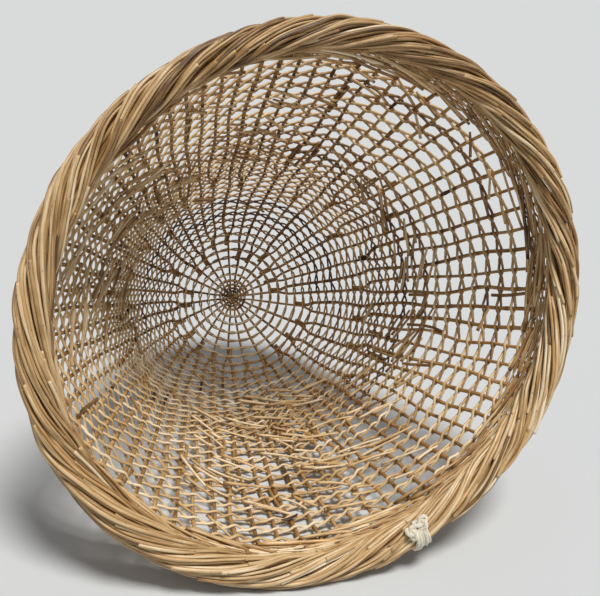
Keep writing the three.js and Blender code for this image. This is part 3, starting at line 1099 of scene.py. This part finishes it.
def build_border_core():
    """Warp ends that run on round the middle of the border, seen only between its bundles, and kept dark as
    painted shade there.
    """
    rods = Rods()
    for member in range(CORE_RODS):
        start = TURN * member / CORE_RODS
        azimuth = np.linspace(start, start + TURN, BORDER_STEPS // 2)
        path, direction = round_border(azimuth, CORE_TURNS * azimuth - start, CORE_REACH)
        rods.add(path, direction, CORE_ROD_RADIUS, BORDER_SIDES, near(CORE_TONE, CORE_TONE_SPREAD))
    rods.build("border_core", BORDER_WILLOW, (), "border_willow")


# String

def string(rods, path, up):
    """A twisted string along a path: its plies wind round the middle line."""
    side, over = across_path(path, up)
    distance = distance_along(path)
    for ply in range(STRING_PLIES):
        angle = TURN * distance / STRING_LAY + TURN * ply / STRING_PLIES
        offset = over * np.cos(angle)[:, None] + side * np.sin(angle)[:, None]
        rods.add(path + offset * STRING_RADIUS * PLY_REACH, up, STRING_RADIUS * PLY_RADIUS, PLY_SIDES)


def fuzz(rods, path, up, count):
    """Short fibres that stand off the string."""
    for place in rng.integers(FIBRE_MARGIN, len(path) - FIBRE_MARGIN, count):
        root = path[place]
        out = up[place] + rng.normal(0, FIBRE_STRAY, 3)
        out /= np.linalg.norm(out)
        curl = rng.normal(0, FIBRE_CURL, 3)
        share = np.linspace(0, 1, FIBRE_STEPS)[:, None]
        reach = draw(FIBRE_LENGTH)
        fibre = root + out * reach * share + curl * share ** 2
        rods.add(fibre, np.cross(out, curl), np.linspace(*FIBRE_RADII, FIBRE_STEPS), FIBRE_SIDES)


def round_string(azimuth, angle, rise):
    """Place on the string's way round the border: it sinks between the rods on the inner side."""
    from_shown = np.abs((angle - STRING_SHOWN + math.pi) % TURN - math.pi)
    sunk = STRING_SUNK * ease(from_shown, *STRING_SINKING)
    return round_border(azimuth, angle, BORDER_RADIUS + STRING_RADIUS - STRING_PRESSED + rise - sunk)


def tie_knot(rods, rim, across, angle, width, height):
    """An overhand knot in the string, flat on the border: a trefoil, which is six of its units wide."""
    share = np.linspace(0, TURN, TIE_STEPS)
    along = across + width / 6 * (np.sin(share) + 2 * np.sin(2 * share))
    over = height / 6 * (np.cos(share) - 2 * np.cos(2 * share))
    distance = BORDER_RADIUS + TIE_RISE - TIE_WEAVE * np.sin(3 * share)
    path, up = round_border(STRING_AZIMUTH + along / rim, angle + over / BORDER_RADIUS, distance)
    string(rods, path, up)
    fuzz(rods, path, up, TIE_FIBRES)


def build_string():
    """Wraps round the border that fan out from a knot of the same string on its inner side."""
    rods = Rods()
    rim = float(wall_radius(WALL_LENGTH, STRING_AZIMUTH))
    loops = np.linspace(0, STRING_LOOPS, STRING_LOOPS * LOOP_STEPS)
    angle = loops * TURN + math.pi
    fan = 1 - STRING_FAN * (0.5 + 0.5 * np.cos(angle - TIE_ANGLE))
    drift = ((loops - STRING_LOOPS / 2) * STRING_PITCH - STRING_SLANT * np.cos(angle)) * fan
    rise = STRING_RISE * np.sin(loops * STRING_RISE_RATE)
    path, up = round_string(STRING_AZIMUTH + drift / rim, angle, rise)
    string(rods, path, up)
    fuzz(rods, path, up, STRING_FIBRES)
    for across, turned, width, height in TIE_LUMPS:
        tie_knot(rods, rim, across, TIE_ANGLE + turned, width, height)
    rods.build("string_lashing", COTTON, ["string_tie"], "cotton_string")


# Loose ends and added butts that lie against the inside of the wall

def lay_inside(rods, azimuth, along, length, slope, thick, tone, free, tucked):
    """A straight rod against the inside, free at its butt and tucked into the rows at its other end."""
    around = length * math.cos(slope) / float(wall_radius(along, azimuth))
    further = min(along + length * math.sin(slope), WALL_LENGTH - END_BELOW_RIM)
    butt = wall_point(along, azimuth, -free)
    tip = wall_point(further, azimuth + around, -tucked)
    share = np.linspace(0, 1, END_STEPS)
    column = share[:, None]
    bow = rng.normal(0, END_BOW, 3) * length
    path = butt + (tip - butt) * column + bow * 4 * column * (1 - column)
    rods.add(
        path, wall_normal(along, azimuth + around / 2), thick * (END_BUTT - END_TAPER * share), END_SIDES,
        tone - END_CUT_DARKER * (share < END_CUT),
    )


def build_loose_ends():
    """Ends of weft rods where a new one took over."""
    rods = Rods()
    for azimuths, alongs, lengths, count, tone in LOOSE_ENDS:
        for _ in range(count):
            slope = math.radians(near(*LOOSE_SLOPE))
            lay_inside(
                rods, math.radians(draw(azimuths)), draw(alongs), draw(lengths),
                slope, draw(LOOSE_RADIUS), near(tone, LOOSE_TONE_SPREAD), draw(LOOSE_FREE),
                draw(LOOSE_TUCKED),
            )
    rods.build("loose_weft_ends", WEFT_WILLOW, (), "weft_willow")


def build_rim_ends():
    """Warp ends turned down inside the band, that slant up into the border."""
    rods = Rods()
    for _ in range(TURNED_ENDS):
        lay_inside(
            rods, rng.uniform(0, TURN), BAND_START + draw(TURNED_START), draw(TURNED_LENGTH),
            math.radians(draw(TURNED_SLOPE)), draw(TURNED_RADIUS), near(*TURNED_TONE),
            draw(TURNED_FREE), draw(TURNED_TUCKED),
        )
    rods.build("turned_down_ends", WEFT_WILLOW, (), "weft_willow")


def build_added_butts():
    """Butts of rods that were pushed in beside a warp where the weave widens."""
    rods = Rods()
    for _ in range(BUTTS):
        ring = BUTT_RING if rng.uniform() < BUTT_RING_SHARE else draw(BUTT_ELSEWHERE)
        target = rng.uniform(0, TURN)
        start = ring + rng.normal(0, BUTT_RING_SPREAD)
        rod = min(
            (rod for rod in every_rod if rod.start < start),
            key=lambda rod: abs((float(rod.azimuth(start)) - target + math.pi) % TURN - math.pi),
        )
        along = np.arange(start, start + draw(BUTT_LENGTH), BUTT_STEP)
        thick = draw(BUTT_RADIUS)
        side = rng.choice([-1, 1]) * (rod.radius(along) + thick * BUTT_BESIDE)
        splay = draw(BUTT_SPLAY) * (along[-1] - along)
        azimuth = rod.azimuth(along) + (side + splay) / wall_radius(along, target)
        rods.add_on_wall(along, azimuth, -draw(BUTT_DEPTH), thick, WARP_SIDES, near(*BUTT_TONE))
    rods.build("added_rod_butts", WARP_WILLOW, (), "warp_willow")


def build_bark_scrap():
    """A curl of dark bark caught in the rows near the bottom of the rim."""
    rods = Rods()
    share = np.linspace(0, 1, END_STEPS)
    azimuth = SCRAP_START[1] + share * SCRAP_LENGTH / float(wall_radius(*SCRAP_READ))
    along = SCRAP_START[0] - SCRAP_FALL * share + SCRAP_CURL * np.sin(share * SCRAP_CURL_RATE)
    swell = np.sin(SCRAP_SWELL_START + SCRAP_SWELL_RATE * share)
    radius = SCRAP_HALF_WIDTH * swell + SCRAP_LEAST
    rods.add_on_wall(along, azimuth, -SCRAP_DEPTH, radius, END_SIDES, SCRAP_TONE, SCRAP_FLATNESS)
    rods.build("bark_scrap", WARP_WILLOW, (), "warp_willow")


# Camera, floor and light

def place_camera():
    """A camera before the mouth, turned from the basket's own axes by its yaw and pitch."""
    sin_yaw, cos_yaw = math.sin(CAMERA_YAW), math.cos(CAMERA_YAW)
    sin_pitch, cos_pitch = math.sin(CAMERA_PITCH), math.cos(CAMERA_PITCH)
    local_x = np.array([cos_yaw, 0, sin_yaw])
    local_z = np.array([sin_yaw * cos_pitch, sin_pitch, -cos_yaw * cos_pitch])
    local_x -= local_z * (local_x @ local_z)
    local_x /= np.linalg.norm(local_x)
    local_y = -np.cross(local_z, local_x)
    axes = np.array([local_x, local_y, local_z])
    place = np.array([0, 0, MOUTH_ALONG_AXIS]) - axes @ MOUTH_IN_CAMERA
    world = np.eye(4)
    world[:3, :3] = TILT @ axes * [1, 1, -1]
    world[:3, 3] = to_world(place[None])[0]
    data = bpy.data.cameras.new("camera")
    data.sensor_width = SENSOR_WIDTH
    data.lens = FOCAL_PIXELS / IMAGE_WIDTH * SENSOR_WIDTH
    data.clip_start = CLIP_START
    camera = bpy.data.objects.new("camera", data)
    camera.matrix_world = Matrix(world.tolist())
    bpy.context.scene.collection.objects.link(camera)
    bpy.context.scene.camera = camera


def build_floor(received):
    """A floor that looks like the backdrop under the light that it receives."""
    mesh = bpy.data.meshes.new("floor")
    corners = [(x * FLOOR_REACH, y * FLOOR_REACH, 0) for x, y in ((-1, -1), (1, -1), (1, 1), (-1, 1))]
    mesh.from_pydata(corners, [], [(0, 1, 2, 3)])
    material, _, shader = node_tree("floor")
    colour = np.minimum(linear(BACKDROP) / received, PALEST_FLOOR)
    shader.inputs["Base Color"].default_value = (*colour, 1)
    shader.inputs["Roughness"].default_value = 1.0
    shader.inputs["Specular IOR Level"].default_value = 0.0
    mesh.materials.append(material)
    floor = bpy.data.objects.new("floor", mesh)
    bpy.context.scene.collection.objects.link(floor)


def build_sky():
    """An even sky that lights the object, with the plain backdrop in its place where it is seen."""
    world = bpy.data.worlds.new("world")
    world.use_nodes = True
    tree = world.node_tree
    sky = tree.nodes["Background"]
    sky.inputs["Color"].default_value = (*SKY_COLOUR, 1)
    sky.inputs["Strength"].default_value = SKY_STRENGTH
    backdrop = tree.nodes.new("ShaderNodeBackground")
    backdrop.inputs["Color"].default_value = srgb(BACKDROP)
    rays = tree.nodes.new("ShaderNodeLightPath")
    seen = math_node(tree, "MAXIMUM", rays.outputs["Is Camera Ray"], rays.outputs["Is Glossy Ray"])
    seen = math_node(tree, "MAXIMUM", seen, rays.outputs["Is Transmission Ray"])
    mix = tree.nodes.new("ShaderNodeMixShader")
    tree.links.new(seen, mix.inputs[0])
    tree.links.new(sky.outputs[0], mix.inputs[1])
    tree.links.new(backdrop.outputs[0], mix.inputs[2])
    tree.links.new(mix.outputs[0], tree.nodes["World Output"].inputs[0])
    bpy.context.scene.world = world


def build_sun(sun_from):
    data = bpy.data.lights.new("sun", "SUN")
    data.energy = SUN_STRENGTH
    data.angle = SUN_ANGLE
    data.color = SUN_COLOUR
    lamp = bpy.data.objects.new("sun", data)
    lamp.rotation_mode = "QUATERNION"
    lamp.rotation_quaternion = Vector(sun_from).to_track_quat("Z", "Y")
    bpy.context.scene.collection.objects.link(lamp)


def build_stage():
    """A plain pale floor and backdrop of one shade, an even sky and one wide soft sun."""
    sun_from = SUN_FROM / np.linalg.norm(SUN_FROM)
    build_floor(SUN_STRENGTH / math.pi * sun_from[2] * SUN_COLOUR + SKY_STRENGTH * SKY_COLOUR)
    build_sky()
    build_sun(sun_from)


place_camera()
build_stage()
build_warps()
build_wefts()
build_start_knot()
build_band()
build_border()
build_string()
build_loose_ends()
build_rim_ends()
build_added_butts()
build_bark_scrap()
build_border_core()

scene = bpy.context.scene
scene.view_settings.view_transform = "Standard"
